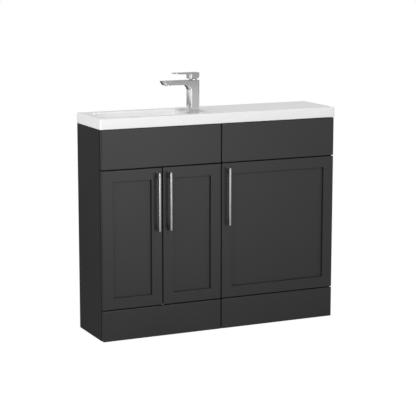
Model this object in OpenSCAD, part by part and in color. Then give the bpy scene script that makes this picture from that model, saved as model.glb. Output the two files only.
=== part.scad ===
// Slimline bathroom unit: a two-door basin cabinet and a one-door cupboard side by side,
// under one moulded basin worktop with a side-mounted mixer tap and its waste.
// X runs along the front, Y goes back to the wall, Z is up, and the floor is at Z = 0.

/* [Cabinets] */
// Width of the left cabinet, which carries the basin
basin_cab_w = 500; // [440:1:600]
// Width of the right cabinet
store_cab_w = 500; // [320:1:600]
// Height of both cabinets, from the floor to the underside of the worktop
cab_h = 818; // [740:1:900]
// Depth of the whole unit, from the faces of its fronts to the wall
unit_d = 255; // [252:1:300]
// Thickness of the sides, bases, rails and shelves
board_t = 18; // [16:0.5:19]
// Thickness of the back panels
back_t = 8; // [6:0.5:12]
// Space between the wall and the back panels
back_inset = 22; // [20:1:26]
// Depth of the grooves that hold the back panels
groove_d = 7; // [5:0.5:9]
// Height of the fixing rails at the wall
fixing_rail_h = 100; // [80:1:110]
// Depth of the rails behind the joint of fascia and doors
front_rail_d = 60; // [50:1:64]
// Height of the open strip for the pipes, above the basin cabinet's back panel
service_h = 158; // [120:1:200]
// Underside of the shelves
shelf_z = 400; // [350:1:450]
// Distance of the shelves behind the front edges of the sides
shelf_setback = 16; // [10:1:30]
// Side play of a shelf at each end
shelf_play = 1; // [0.5:0.1:2]
// Radius of the pins under the shelves
shelf_pin_r = 2.5; // [2:0.1:3]
// Length of a shelf pin on each side of the board's face
shelf_pin_l = 9; // [7:0.5:11]
// Spacing of the rows of shelf pin holes
pin_pitch = 32; // [25:1:40]
// Distance of the shelf pins from the front edges and the back panels
shelf_pin_in = 42; // [30:1:60]
// Distance of the base's dowels from its front and back edges
dowel_in = 40; // [25:1:60]
// Radius of the dowels in the corners of the cabinets
dowel_r = 4; // [3:0.5:4.5]
// Radius of the screw holes for the wall in the fixing rails
wall_hole_r = 3; // [2:0.5:4]
// Distance from a side board to the nearer wall hole of a rail
wall_hole_in = 82; // [30:1:110]
// Distance of the joining bolts above and below the middle of the doors
bolt_dz = 90; // [60:5:120]
// Distance of the joining bolts from the front edges and the back panels
bolt_in = 30; // [20:1:60]

/* [Fronts] */
// Thickness of the doors, fascias and plinths
front_t = 18; // [17.5:0.5:20]
// Gap between neighbouring fronts
front_gap = 3.5; // [3.2:0.1:5]
// Height of the middle of the gap between plinth and doors
plinth_line = 122; // [110:1:150]
// Height of the fascias
fascia_h = 151.25; // [135:0.25:180]
// Shadow gap between the fascias and the worktop
top_reveal = 2; // [1:0.5:4]
// Width of the raised frame round each door panel
frame_w = 44; // [42:1:60]
// Depth of the recessed door panels
panel_recess = 9; // [6:0.5:10]
// Rounding of the doors' upright front edges
door_edge_r = 2; // [1.5:0.1:2.5]
// Thickness of the door bumpers
bumper_t = 2.5; // [2.3:0.1:4]
// Radius of the door bumpers
bumper_r = 3.5; // [2.5:0.5:3.5]

/* [Handles] */
// Overall height of a bar handle
handle_h = 225; // [120:1:300]
// Width of the bar and its legs, seen from the front
handle_w = 8; // [6:0.5:12]
// Thickness of the bar, front to back
handle_t = 8; // [5:0.5:10]
// Reach of the handles in front of the doors
handle_out = 30; // [24:1:40]
// Height of a handle leg
handle_leg_h = 22; // [16:1:30]
// Distance from a door's top edge to the top of its handle
handle_drop = 17; // [10:1:60]
// Distance from a door's opening edge to the middle of its handle
handle_inset = 22; // [20:1:24]
// Radius of the handle screws
handle_screw_r = 2; // [1.5:0.25:2.5]

/* [Hinges] */
// Radius of the hinge cups
cup_r = 17.5; // [17.3:0.1:17.7]
// Depth of the hinge cups in the doors
cup_depth = 13.5; // [13.4:0.1:14]
// Distance from the cups' rims to the doors' hinge edges
cup_edge = 3; // [2.8:0.1:3.2]
// Wall of the hinge cups
cup_wall = 0.9; // [0.7:0.05:1]
// Distance from a hinge edge to its pin
pin_in = 6.8; // [6.7:0.05:7]
// Distance from the faces of the doors to the hinge pins
pin_back = 7.8; // [7.6:0.05:7.9]
// Radius of the hinge pins
hinge_pin_r = 1; // [0.8:0.05:1.2]
// Width of the hinge arms
arm_w = 9; // [7:0.5:9]
// Thickness of the hinge arms
arm_t = 2; // [1.6:0.1:2.2]
// Length of the hinge plates along the sides
hinge_plate_l = 60; // [50:1:70]
// Height of the hinge plates
hinge_plate_h = 50; // [46:1:60]
// Distance from a door's top and bottom edges to its hinges
hinge_from_end = 85; // [70:1:110]

/* [Basin worktop] */
// Thickness of the worktop
top_t = 40; // [36:1:44]
// Overhang of the worktop past each side
top_over = 3; // [0:0.5:6]
// Width of the rim round the bowl
rim_w = 40; // [38:0.5:42]
// Distance from the sunken area's right end to the joint of the cabinets
sink_gap = 23; // [19:1:40]
// Length of the sunken tap deck, right of the bowl
deck_l = 79; // [76:1:90]
// Depth of the sunken tap deck under the rim
deck_drop = 9; // [6:0.5:12]
// Depth of the bowl under the rim
bowl_depth = 100; // [90:1:105]
// Fall of the bowl's floor to the waste
floor_fall = 3; // [2:0.5:4]
// Corner radius of the sunken area
sink_corner_r = 12; // [8:1:16]
// Rounding between the bowl's walls and its floor
bowl_fillet = 16; // [12:1:20]
// Slope of the bowl's three steep walls, in millimetres over their height
wall_draft = 10; // [8:1:14]
// Length of the slope between the bowl's floor and the tap deck
slope_l = 45; // [35:1:60]
// Material under the bowl at the waste
shell_floor_t = 15; // [14:0.5:18]
// Distance from the left end of the sunken area to the waste
waste_from_left = 178; // [165:1:195]
// Radius of the overflow hole
overflow_r = 10; // [8:0.5:11]
// Depth of the middle of the overflow hole under the rim
overflow_drop = 21; // [19:0.5:24]

/* [Waste and trap] */
// Radius of the waste's threaded tail
waste_r = 20.5; // [19:0.5:21]
// Radius of the waste's flange
waste_flange_r = 32; // [30:0.5:34]
// Length of the waste under its flange
waste_l = 64; // [60:1:70]
// Travel of the push plug
plug_travel = 7; // [5:0.5:9]
// Outer radius of the trap's body
trap_r = 27; // [25:0.5:29]
// Drop from the end of the waste's tail to the waste pipe's centre line
outlet_drop = 37.5; // [35:0.5:60]
// Depth of the trap's floor under the waste pipe's centre line
trap_drop = 72; // [65:1:90]
// Outer radius of the waste pipe
pipe_r = 17.35; // [16:0.05:18]
// Wall of the plastic pipes
pipe_wall = 2.2; // [1.8:0.1:2.8]

/* [Tap] */
// Size of the tap's column along the front
tap_w = 45; // [43:0.5:47]
// Size of the tap's column from front to back, and width of its spout
tap_d = 40; // [39:0.5:42]
// Corner chamfer of the column, the spout and the lever
tap_chamfer = 7.5; // [5:0.5:8]
// Height of the tap's body above its seal
tap_h = 128; // [115:1:150]
// Reach from the column's centre line to the tip of the spout
spout_reach = 137; // [110:1:155]
// Height of the spout
spout_t = 17; // [15:0.5:19]
// Distance from the spout's tip back to the middle of the outlet
outlet_in = 29; // [26:1:36]
// Reach of the lever's tip from the column's centre line
lever_reach = 88; // [70:1:100]
// Height of the lever
lever_h = 23.5; // [22:0.5:30]
// Distance from the right end of the sunken area to the tap's centre line
tap_from_right = 41; // [36:0.5:44]
// Radius of the hole under the tap
tap_hole_r = 17.5; // [16.5:0.5:18]
// Radius of the cartridge
cartridge_r = 14; // [13:0.5:14.5]
// Radius of the water inlets under the tap
inlet_r = 4.45; // [4:0.05:4.6]
// Radius of the tap's fixing stud
stud_r = 4; // [3:0.5:4]

/* [Hidden] */
$fn = 64;

anthracite = [0.075, 0.075, 0.08];
inside_grey = [0.42, 0.42, 0.43];
nickel = [0.62, 0.61, 0.59];
chrome = [0.75, 0.76, 0.78];
steel = [0.6, 0.6, 0.62];
marble_white = [0.93, 0.93, 0.93];
rubber_black = [0.08, 0.08, 0.08];
pipe_white = [0.88, 0.88, 0.86];
beech = [0.72, 0.55, 0.36];

eps = 0.01;          // overshoot of a cut past a face
slack = 0.1;         // radial clearance of pieces that are pushed or screwed home
run = 0.05;          // radial clearance of pins that turn

// The whole unit, centred on its own box
unit_w = basin_cab_w + store_cab_w;
x_left = -unit_w / 2;
x_split = x_left + basin_cab_w;
x_right = unit_w / 2;
y_front = -(unit_d - handle_out) / 2;
y_wall = y_front + unit_d;
y_carcass = y_front + front_t + bumper_t;
carcass_d = y_wall - y_carcass;
top_z = cab_h + top_t;
deck_z = top_z - deck_drop;

base_z = plinth_line - front_gap / 2;
back_y = y_wall - back_inset - back_t;
fascia_line = cab_h - top_reveal - fascia_h - front_gap / 2;
basin_back_top = cab_h - fixing_rail_h - service_h;
front_rail_z = fascia_line - 2 * board_t / 3;
shelf_pin_z = shelf_z - shelf_pin_r - run;
// Each cabinet is [left face, width, top edge of its back panel]
basin_cab = [x_left, basin_cab_w, basin_back_top];
cupboard = [x_split, store_cab_w, cab_h];
shelf_pin_y = [y_carcass + shelf_pin_in, back_y - shelf_pin_in];

// Doors: [left edge, right edge, +1 if hinged on the left or -1 on the right]
door_z = plinth_line + front_gap / 2;
door_h = fascia_line - plinth_line - front_gap;
door_mid_z = door_z + door_h / 2;
x_meet = x_left + basin_cab_w / 2;
left_leaf = [x_left + front_gap / 2, x_meet - front_gap / 2, 1];
middle_leaf = [x_meet + front_gap / 2, x_split - front_gap / 2, -1];
right_leaf = [x_split + front_gap / 2, x_right - front_gap / 2, -1];
hinge_zs = [door_z + hinge_from_end, door_z + door_h - hinge_from_end];
handle_top = door_z + door_h - handle_drop;
handle_screw_zs = [handle_top - handle_leg_h / 2, handle_top - handle_h + handle_leg_h / 2];
handle_screw_head_h = bumper_t - 0.3;
bumper_zs = [door_z + bumper_r + 3, door_z + door_h - bumper_r - 2];

// Hinges, measured from the hinge edge and from the faces of the doors
cup_x = cup_edge + cup_r;
cup_inner_r = cup_r - cup_wall;
side_face = board_t - front_gap / 2;                // inner face of the cabinet's side
swing_r = norm([pin_in, front_t - pin_back]);       // reach of the door's rear edge from the pin
neck_x = pin_in + swing_r + 0.4;                    // upright part of the goose-neck arm
eye_r = min(2, pin_back - (front_t - cup_depth) - cup_wall - 0.2);
pin_half_l = sqrt(pow(cup_r, 2) - pow(cup_x - pin_in + hinge_pin_r, 2)) - 0.1;
plate_back = front_t + bumper_t + 4;                // front end of a hinge plate
plate_screw_dz = 16;
plate_screw_in = plate_back + 33;

// Bowl and tap deck
sink_x = x_left - top_over + rim_w;
sink_y = y_front + rim_w;
sink_d = unit_d - 2 * rim_w;
sink_l = basin_cab_w + top_over - rim_w - sink_gap;
bowl_l = sink_l - deck_l;
sink_mid_y = sink_y + sink_d / 2;
bowl_z = top_z - bowl_depth;
waste_x = sink_x + waste_from_left;
waste_z = bowl_z - floor_fall;
shell_z = waste_z - shell_floor_t;
shell_wall = 8;
overflow_z = top_z - overflow_drop;
overflow_seat_y = sink_y + 2;
channel_w = 24;
channel_t = 8;
channel_front = 6;                                  // shell in front of the overflow channel
tap_x = sink_x + sink_l - tap_from_right;
tap_y = sink_mid_y;

// Waste and trap, from the bowl downwards
washer_t = 1.5;
under_washer_t = 3;
flange_t = 2;
flange_z = waste_z + washer_t;
tail_z = flange_z - waste_l;
tail_wall = 2.5;
back_nut_h = 8;
plug_stem_r = 4.5;
plug_cap_t = 5;
spider_z = flange_z - 30;
spider_t = 8;
inlet_nut_h = 16;
inlet_nut_r = waste_r + 5;
trap_top_z = tail_z - 2;
pipe_z = tail_z - outlet_drop;
trap_floor_z = pipe_z - trap_drop;
trap_skirt_z = pipe_z - 32;
trap_wall = 2.5;
dip_r = 16;
bottle_wall = 2.8;
socket_l = 34;
spigot_r = pipe_r - 0.3;
socket_r = spigot_r + slack;
bottle_h = pipe_z - socket_r - trap_wall - 1 - trap_floor_z;
socket_start = trap_r + 5;                          // shoulder in the socket, from the trap's axis
socket_end = trap_r - trap_wall - 1 + socket_l;

// Tap, from its seal upwards
tap_seal_t = 1;
tap_z = deck_z + tap_seal_t;
tap_top_z = tap_z + tap_h;
cartridge_floor_z = tap_top_z - 36;
cartridge_top_z = tap_top_z - 2;
nut_h = 5;
nut_r = min(cartridge_r + 1, tap_d / 2 - 4);
carrier_r = 9;
carrier_floor_z = cartridge_top_z - 6;
pivot_z = tap_top_z + 3;
lever_gap = 6;
lever_z = tap_top_z + lever_gap;
lever_top_z = lever_z + lever_h;
lever_bore_r = tap_d / 2 - 1.3;
lever_roof_z = lever_top_z - 9.5;
spindle_w = 7;
spindle_t = 5;
inlet_x = -6;
inlet_y = 7.5;
inlet_l = 12;
stud_x = 9;
stud_in = 18;
stud_below = 35;
outlet_reach = spout_reach - outlet_in;
aerator_r = 12;
aerator_h = 10;
aerator_proud = 2;
water_r = 4;

// ---------- shared shapes ----------

// Rounded rectangle centred on the origin
module rounded_rect(w, d, r) {
    square([w - 2 * r, d], center = true);
    square([w, d - 2 * r], center = true);
    for (sx = [-1, 1], sy = [-1, 1])
        translate([sx * (w / 2 - r), sy * (d / 2 - r)]) circle(r = r);
}

// Corner points of a rectangle with cut corners
function cut_corners(xa, xb, ya, yb, c) = [
    [xa + c, ya], [xb - c, ya], [xb, ya + c], [xb, yb - c],
    [xb - c, yb], [xa + c, yb], [xa, yb - c], [xa, ya + c]
];

// Straight rod along X, Y or Z from the origin
module rod_x(r, l) rotate([0, 90, 0]) cylinder(r = r, h = l);
module rod_y(r, l) rotate([-90, 0, 0]) cylinder(r = r, h = l);

// ---------- cabinets ----------

// Y and Z of the dowels that join the base, the front rail and the fixing rail to a side
function dowel_places() = [
    [y_carcass + dowel_in, base_z + board_t / 2],
    [y_wall - dowel_in, base_z + board_t / 2],
    [y_carcass + front_rail_d / 4, front_rail_z + board_t / 2],
    [y_carcass + 3 * front_rail_d / 4, front_rail_z + board_t / 2],
    [y_wall - board_t / 2, cab_h - fixing_rail_h / 5],
    [y_wall - board_t / 2, cab_h - 4 * fixing_rail_h / 5]
];

dowel_in_side = 12;
dowel_in_board = 18;

// All dowels of one cabinet, grown by a clearance
module dowels(cab, grow) {
    for (p = dowel_places()) {
        translate([cab[0] + board_t - dowel_in_side - grow, p[0], p[1]])
            rod_x(dowel_r + grow, dowel_in_side + dowel_in_board + 2 * grow);
        translate([cab[0] + cab[1] - board_t - dowel_in_board - grow, p[0], p[1]])
            rod_x(dowel_r + grow, dowel_in_side + dowel_in_board + 2 * grow);
    }
}

// The back panel of a cabinet, grown by a clearance
module back_panel(cab, grow) {
    translate([cab[0] + board_t - groove_d - grow, back_y - grow, base_z + board_t])
        cube([cab[1] - 2 * board_t + 2 * (groove_d + grow), back_t + 2 * grow,
              cab[2] - base_z - board_t + (grow > 0 ? eps : 0)]);
}

// Four pins, or their holes, under the shelf of a cabinet
module cabinet_shelf_pins(cab, grow, dz) {
    for (x = [cab[0] + board_t, cab[0] + cab[1] - board_t], y = shelf_pin_y)
        translate([x - shelf_pin_l - grow, y, shelf_pin_z + dz])
            rod_x(shelf_pin_r + grow, 2 * (shelf_pin_l + grow));
}

// Y and Z of the bolts that join the two cabinets
function bolt_places() = [
    for (y = [y_carcass + bolt_in, back_y - bolt_in], z = [door_mid_z - bolt_dz, door_mid_z + bolt_dz]) [y, z]
];
bolt_r = 2.5;
bolt_head_r = 7;
bolt_head_t = 2;

// One upright side, x is its left face
module side(cab, x, joined) {
    difference() {
        translate([x, y_carcass, 0]) cube([board_t, carcass_d, cab_h]);
        dowels(cab, run);
        back_panel(cab, slack);
        for (dz = [-pin_pitch, 0, pin_pitch]) cabinet_shelf_pins(cab, run, dz);
        for (z = hinge_zs, s = [-plate_screw_dz, plate_screw_dz])
            translate([x - eps, y_front + plate_screw_in, z + s])
                translate([x < cab[0] + cab[1] / 2 ? board_t - hinge_screw_l : 0, 0, 0])
                    rod_x(hinge_screw_r + run, hinge_screw_l + 2 * eps);
        if (joined)
            for (p = bolt_places())
                translate([x - eps, p[0], p[1]]) rod_x(bolt_r + slack, board_t + 2 * eps);
    }
}

module base_board(cab) {
    difference() {
        translate([cab[0] + board_t, y_carcass, base_z])
            cube([cab[1] - 2 * board_t, carcass_d, board_t]);
        dowels(cab, run);
    }
}

// Front rail behind the joint of fascia and doors, and the fixing rail at the wall
module rails(cab) {
    inner = cab[1] - 2 * board_t;
    difference() {
        union() {
            translate([cab[0] + board_t, y_carcass, front_rail_z]) cube([inner, front_rail_d, board_t]);
            translate([cab[0] + board_t, y_wall - board_t, cab_h - fixing_rail_h])
                cube([inner, board_t, fixing_rail_h]);
        }
        dowels(cab, run);
        for (s = [-1, 1])
            translate([cab[0] + cab[1] / 2 + s * (inner / 2 - wall_hole_in), y_wall - board_t - eps,
                       cab_h - fixing_rail_h / 2])
                rod_y(wall_hole_r, board_t + 2 * eps);
    }
}

module shelf(cab) {
    translate([cab[0] + board_t + shelf_play, y_carcass + shelf_setback, shelf_z])
        cube([cab[1] - 2 * (board_t + shelf_play), back_y - y_carcass - shelf_setback - 0.5, board_t]);
}

module front_board(cab, z, h) {
    translate([cab[0] + front_gap / 2, y_front, z]) cube([cab[1] - front_gap, front_t, h]);
}

module fascia(cab)
    front_board(cab, fascia_line + front_gap / 2, cab_h - top_reveal - fascia_line - front_gap / 2);

module plinth(cab) front_board(cab, 0, plinth_line - front_gap / 2);

module basin_cabinet_left_side() color(anthracite) side(basin_cab, x_left, false);
module basin_cabinet_right_side() color(anthracite) side(basin_cab, x_split - board_t, true);
module basin_cabinet_base() color(anthracite) base_board(basin_cab);
module basin_cabinet_back() color(inside_grey) back_panel(basin_cab, 0);
module basin_cabinet_rails() color(anthracite) rails(basin_cab);
module basin_cabinet_shelf() color(anthracite) shelf(basin_cab);
module basin_cabinet_fascia() color(anthracite) fascia(basin_cab);
module basin_cabinet_plinth() color(anthracite) plinth(basin_cab);

module cupboard_left_side() color(anthracite) side(cupboard, x_split, true);
module cupboard_right_side() color(anthracite) side(cupboard, x_right - board_t, false);
module cupboard_base() color(anthracite) base_board(cupboard);
module cupboard_back() color(inside_grey) back_panel(cupboard, 0);
module cupboard_rails() color(anthracite) rails(cupboard);
module cupboard_shelf() color(anthracite) shelf(cupboard);
module cupboard_fascia() color(anthracite) fascia(cupboard);
module cupboard_plinth() color(anthracite) plinth(cupboard);

module corner_dowels() color(beech) {
    dowels(basin_cab, 0);
    dowels(cupboard, 0);
}

// Blocks that hold the fascias and the plinths to the sides
block_w = 18;
block_d = 20;
block_h = 40;
module corner_blocks() color(pipe_white) {
    for (cab = [basin_cab, cupboard], z = [fascia_line + board_t, plinth_line / 2 - block_h / 2])
        for (x = [cab[0] + board_t, cab[0] + cab[1] - board_t - block_w])
            translate([x, y_front + front_t, z]) cube([block_w, block_d, block_h]);
}

module shelf_pins() color(steel) {
    cabinet_shelf_pins(basin_cab, 0, 0);
    cabinet_shelf_pins(cupboard, 0, 0);
}

module cabinet_bolts() color(steel) {
    for (p = bolt_places()) translate([x_split, p[0], p[1]]) {
        translate([-board_t, 0, 0]) rod_x(bolt_r, 2 * board_t);
        translate([-board_t - bolt_head_t, 0, 0]) rod_x(bolt_head_r, bolt_head_t);
        translate([board_t, 0, 0]) rod_x(bolt_head_r, bolt_head_t);
    }
}

// Soft pads that the closed doors rest on
module door_bumpers() color(pipe_white) {
    for (z = bumper_zs) {
        for (x = [x_meet - 12, x_meet + 12, x_split + board_t / 2])
            translate([x, y_front + front_t, z]) rod_y(bumper_r, bumper_t);
    }
}

// ---------- doors ----------

// Door outline seen from above, with rounded upright front edges
module door_plan(leaf) {
    w = leaf[1] - leaf[0];
    translate([leaf[0], y_front]) {
        translate([door_edge_r, 0]) square([w - 2 * door_edge_r, front_t]);
        translate([0, door_edge_r]) square([w, front_t - door_edge_r]);
        for (x = [door_edge_r, w - door_edge_r]) translate([x, door_edge_r]) circle(r = door_edge_r);
    }
}

// Puts its children at a hinge: x counts inwards from the hinge edge, y back from the front
module at_hinges(leaf) {
    for (z = hinge_zs)
        translate([leaf[2] > 0 ? leaf[0] : leaf[1], y_front, z])
            mirror([leaf[2] > 0 ? 0 : 1, 0, 0]) children();
}

function handle_x(leaf) = leaf[2] > 0 ? leaf[1] - handle_inset : leaf[0] + handle_inset;

module door(leaf) {
    w = leaf[1] - leaf[0];
    difference() {
        translate([0, 0, door_z]) linear_extrude(door_h) door_plan(leaf);
        translate([leaf[0] + frame_w, y_front - eps, door_z + frame_w])
            cube([w - 2 * frame_w, panel_recess + eps, door_h - 2 * frame_w]);
        at_hinges(leaf) translate([cup_x, front_t - cup_depth - slack, 0])
            rod_y(cup_r + slack, cup_depth + slack + eps);
        for (z = handle_screw_zs) translate([handle_x(leaf), y_front - eps, z])
            rod_y(handle_screw_r + slack, front_t + 2 * eps);
    }
}

module left_door() color(anthracite) door(left_leaf);
module middle_door() color(anthracite) door(middle_leaf);
module right_door() color(anthracite) door(right_leaf);

// Square bar with a leg at each end
module handle(leaf) {
    difference() {
        translate([handle_x(leaf) - handle_w / 2, y_front - handle_out, handle_top - handle_h]) {
            cube([handle_w, handle_t, handle_h]);
            for (z = [0, handle_h - handle_leg_h])
                translate([0, 0, z]) cube([handle_w, handle_out, handle_leg_h]);
        }
        for (z = handle_screw_zs) translate([handle_x(leaf), y_front - handle_screw_in - slack, z])
            rod_y(handle_screw_r + run, handle_screw_in + slack + eps);
    }
}
handle_screw_in = 12;

module handle_screws(leaf) {
    for (z = handle_screw_zs) translate([handle_x(leaf), y_front, z]) {
        translate([0, -handle_screw_in, 0]) rod_y(handle_screw_r, handle_screw_in + front_t);
        translate([0, front_t, 0]) rod_y(2 * handle_screw_r, handle_screw_head_h);
    }
}

module left_handle() color(nickel) handle(left_leaf);
module middle_handle() color(nickel) handle(middle_leaf);
module right_handle() color(nickel) handle(right_leaf);
module left_handle_screws() color(steel) handle_screws(left_leaf);
module middle_handle_screws() color(steel) handle_screws(middle_leaf);
module right_handle_screws() color(steel) handle_screws(right_leaf);

// ---------- hinges ----------

flange_over = 0.8;                                  // thickness of the cup's flange
wing_w = 17;
wing_h = 26;
hinge_screw_r = 1.75;
hinge_screw_l = 13;

// Pressed cup with a round rim and two wings, pierced for its pin
module hinge_cup() {
    difference() {
        union() {
            translate([cup_x, front_t - cup_depth, 0]) rod_y(cup_r, cup_depth + flange_over);
            translate([cup_x - wing_w / 2, front_t, -wing_h]) cube([wing_w, flange_over, 2 * wing_h]);
        }
        translate([cup_x, front_t - cup_depth + cup_wall, 0]) rod_y(cup_inner_r, cup_depth + 1);
        translate([pin_in, pin_back, -pin_half_l]) cylinder(r = hinge_pin_r, h = 2 * pin_half_l);
    }
}

module hinge_pin()
    translate([pin_in, pin_back, -pin_half_l]) cylinder(r = hinge_pin_r, h = 2 * pin_half_l);

// Goose-neck arm: an eye on the pin, a foot into the cup's mouth, a neck, and a strip on the plate
module hinge_arm() {
    translate([0, 0, -arm_w / 2]) difference() {
        union() {
            translate([pin_in, pin_back, 0]) cylinder(r = eye_r, h = arm_w);
            translate([pin_in, pin_back - arm_t / 2, 0]) cube([neck_x + arm_t - pin_in, arm_t, arm_w]);
            translate([neck_x, pin_back - arm_t / 2, 0])
                cube([arm_t, plate_back + hinge_plate_l - pin_back, arm_w]);
        }
        translate([pin_in, pin_back, -eps]) cylinder(r = hinge_pin_r + run, h = arm_w + 2 * eps);
    }
}

module hinge_plate() {
    difference() {
        union() {
            translate([side_face, plate_back, -arm_w / 2])
                cube([neck_x - side_face, hinge_plate_l, arm_w]);
            translate([side_face, plate_screw_in - 9, -hinge_plate_h / 2])
                cube([1.6, 18, hinge_plate_h]);
        }
        for (z = [-plate_screw_dz, plate_screw_dz])
            translate([side_face - eps, plate_screw_in, z]) rod_x(hinge_screw_r + slack, 10);
    }
}

module hinge_plate_screw_pair() {
    for (z = [-plate_screw_dz, plate_screw_dz]) translate([side_face, plate_screw_in, z]) {
        translate([-hinge_screw_l + 1, 0, 0]) rod_x(hinge_screw_r, hinge_screw_l + 1);
        translate([1.6, 0, 0]) rod_x(2 * hinge_screw_r, 1.6);
    }
}

module left_hinge_cups() color(steel) at_hinges(left_leaf) hinge_cup();
module middle_hinge_cups() color(steel) at_hinges(middle_leaf) hinge_cup();
module right_hinge_cups() color(steel) at_hinges(right_leaf) hinge_cup();
module left_hinge_pins() color(steel) at_hinges(left_leaf) hinge_pin();
module middle_hinge_pins() color(steel) at_hinges(middle_leaf) hinge_pin();
module right_hinge_pins() color(steel) at_hinges(right_leaf) hinge_pin();
module left_hinge_arms() color(steel) at_hinges(left_leaf) hinge_arm();
module middle_hinge_arms() color(steel) at_hinges(middle_leaf) hinge_arm();
module right_hinge_arms() color(steel) at_hinges(right_leaf) hinge_arm();
module hinge_plates() color(steel)
    for (leaf = [left_leaf, middle_leaf, right_leaf]) at_hinges(leaf) hinge_plate();
module hinge_plate_screws() color(steel)
    for (leaf = [left_leaf, middle_leaf, right_leaf]) at_hinges(leaf) hinge_plate_screw_pair();

// ---------- basin worktop ----------

// Flat piece of a rounded rectangle given by its limits
module slice(xa, xb, ya, yb, z, r, h)
    translate([(xa + xb) / 2, (ya + yb) / 2, z]) linear_extrude(h) rounded_rect(xb - xa, yb - ya, r);

// Water side of the bowl under the deck's level
module bowl_hollow() {
    xa = sink_x + wall_draft + bowl_fillet;
    xb = sink_x + bowl_l - slope_l - bowl_fillet;
    ya = sink_y + wall_draft + bowl_fillet;
    yb = sink_y + sink_d - wall_draft - bowl_fillet;
    hull() {
        slice(sink_x, sink_x + bowl_l, sink_y, sink_y + sink_d, deck_z, sink_corner_r, 0.2, $fn = 32);
        for (x = [xa, xb], y = [ya, yb])
            translate([x, y, bowl_z + bowl_fillet]) sphere(r = bowl_fillet, $fn = 32);
    }
    hull() {
        translate([xa, ya, bowl_z]) cube([xb - xa, yb - ya, 0.2]);
        translate([waste_x, sink_mid_y, waste_z]) cylinder(r = waste_flange_r + 2, h = 0.2, $fn = 32);
    }
}

// Outside of the bowl under the slab
module bowl_shell() {
    hull() {
        slice(sink_x - shell_wall, sink_x + bowl_l + shell_wall, y_front + front_t + 4,
              sink_y + sink_d + shell_wall, cab_h, sink_corner_r, 0.2, $fn = 32);
        slice(sink_x + wall_draft, sink_x + bowl_l - slope_l + bowl_fillet,
              y_front + front_t + channel_front, sink_y + sink_d - wall_draft + shell_wall,
              shell_z, bowl_fillet, 0.2, $fn = 32);
    }
}

// Overflow: a round mouth in the bowl's front wall and a channel inside the casting to the waste
module overflow_cut() {
    front = y_front + front_t + 4 + channel_front;
    translate([waste_x, overflow_seat_y - channel_t, overflow_z]) rod_y(overflow_r, channel_t + 10);
    translate([waste_x, overflow_seat_y, overflow_z]) rod_y(overflow_r + 4.2, 14);
    translate([waste_x - channel_w / 2, front, shell_z + 3])
        cube([channel_w, channel_t, overflow_z - shell_z - 3 + overflow_r]);
    translate([waste_x - channel_w / 2, front, shell_z + 3])
        cube([channel_w, sink_mid_y - front, channel_t - 1]);
}

module basin_worktop() color(marble_white) {
    difference() {
        union() {
            translate([x_left - top_over, y_front, cab_h]) cube([unit_w + 2 * top_over, unit_d, top_t]);
            bowl_shell();
        }
        slice(sink_x, sink_x + sink_l, sink_y, sink_y + sink_d, deck_z, sink_corner_r, deck_drop + 1);
        bowl_hollow();
        overflow_cut();
        translate([waste_x, sink_mid_y, shell_z - 1]) cylinder(r = waste_r + 2, h = shell_floor_t + 3);
        translate([tap_x, tap_y, cab_h - 1]) cylinder(r = tap_hole_r, h = top_t);
    }
}

module overflow_ring() color(chrome) {
    translate([waste_x, overflow_seat_y, overflow_z]) difference() {
        union() {
            rod_y(overflow_r + 4, 2);
            translate([0, -4, 0]) rod_y(overflow_r - slack, 4 + eps);
        }
        translate([0, -5, 0]) rod_y(overflow_r - 2, 8);
    }
}

// ---------- waste and trap ----------

module waste_body() color(chrome) {
    translate([waste_x, sink_mid_y, 0]) difference() {
        union() {
            translate([0, 0, flange_z]) cylinder(r = waste_flange_r, h = flange_t);
            difference() {
                translate([0, 0, tail_z]) cylinder(r = waste_r, h = waste_l);
                translate([0, 0, tail_z - eps]) cylinder(r = waste_r - tail_wall, h = spider_z - tail_z);
                translate([0, 0, spider_z + spider_t])
                    cylinder(r = waste_r - tail_wall, h = waste_l);
                for (a = [45:90:315]) rotate([0, 0, a]) translate([waste_r / 2 + 2, 0, spider_z - 1])
                    cylinder(r = 4.5, h = spider_t + 2);
                for (a = [-90, 90]) rotate([0, 0, a])
                    translate([0, 0, shell_z + 3 + channel_t / 2]) rod_x(3, waste_r + 1);
            }
        }
        translate([0, 0, flange_z - eps]) cylinder(r = waste_r - tail_wall, h = flange_t + 1);
        translate([0, 0, spider_z - 1]) cylinder(r = plug_stem_r + run, h = spider_t + 2);
    }
}

// Push plug: a low domed cap on a stem that slides in the waste
module waste_plug() color(chrome) {
    cap_z = flange_z + flange_t + 0.4;
    translate([waste_x, sink_mid_y, 0]) {
        translate([0, 0, cap_z]) rotate_extrude()
            polygon([[0, 0], [waste_flange_r - 1, 0], [waste_flange_r - 1, 2.5],
                     [waste_flange_r - 4, 4], [waste_flange_r - 12, plug_cap_t], [0, plug_cap_t]]);
        translate([0, 0, spider_z - plug_travel - 3])
            cylinder(r = plug_stem_r, h = cap_z - spider_z + plug_travel + 3 + eps);
        translate([0, 0, spider_z - plug_travel - 5]) cylinder(r = plug_stem_r + 2, h = 4);
    }
}

module waste_washers() color(rubber_black) {
    for (w = [[waste_z, washer_t], [shell_z - under_washer_t, under_washer_t]])
        translate([waste_x, sink_mid_y, w[0]]) difference() {
            cylinder(r = waste_flange_r - 1, h = w[1]);
            translate([0, 0, -1]) cylinder(r = waste_r + slack, h = w[1] + 2);
        }
}

module waste_back_nut() color(chrome) {
    translate([waste_x, sink_mid_y, shell_z - under_washer_t - back_nut_h]) difference() {
        cylinder(r = waste_r + 8, h = back_nut_h, $fn = 6);
        translate([0, 0, -1]) cylinder(r = waste_r + slack, h = back_nut_h + 2);
    }
}

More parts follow.
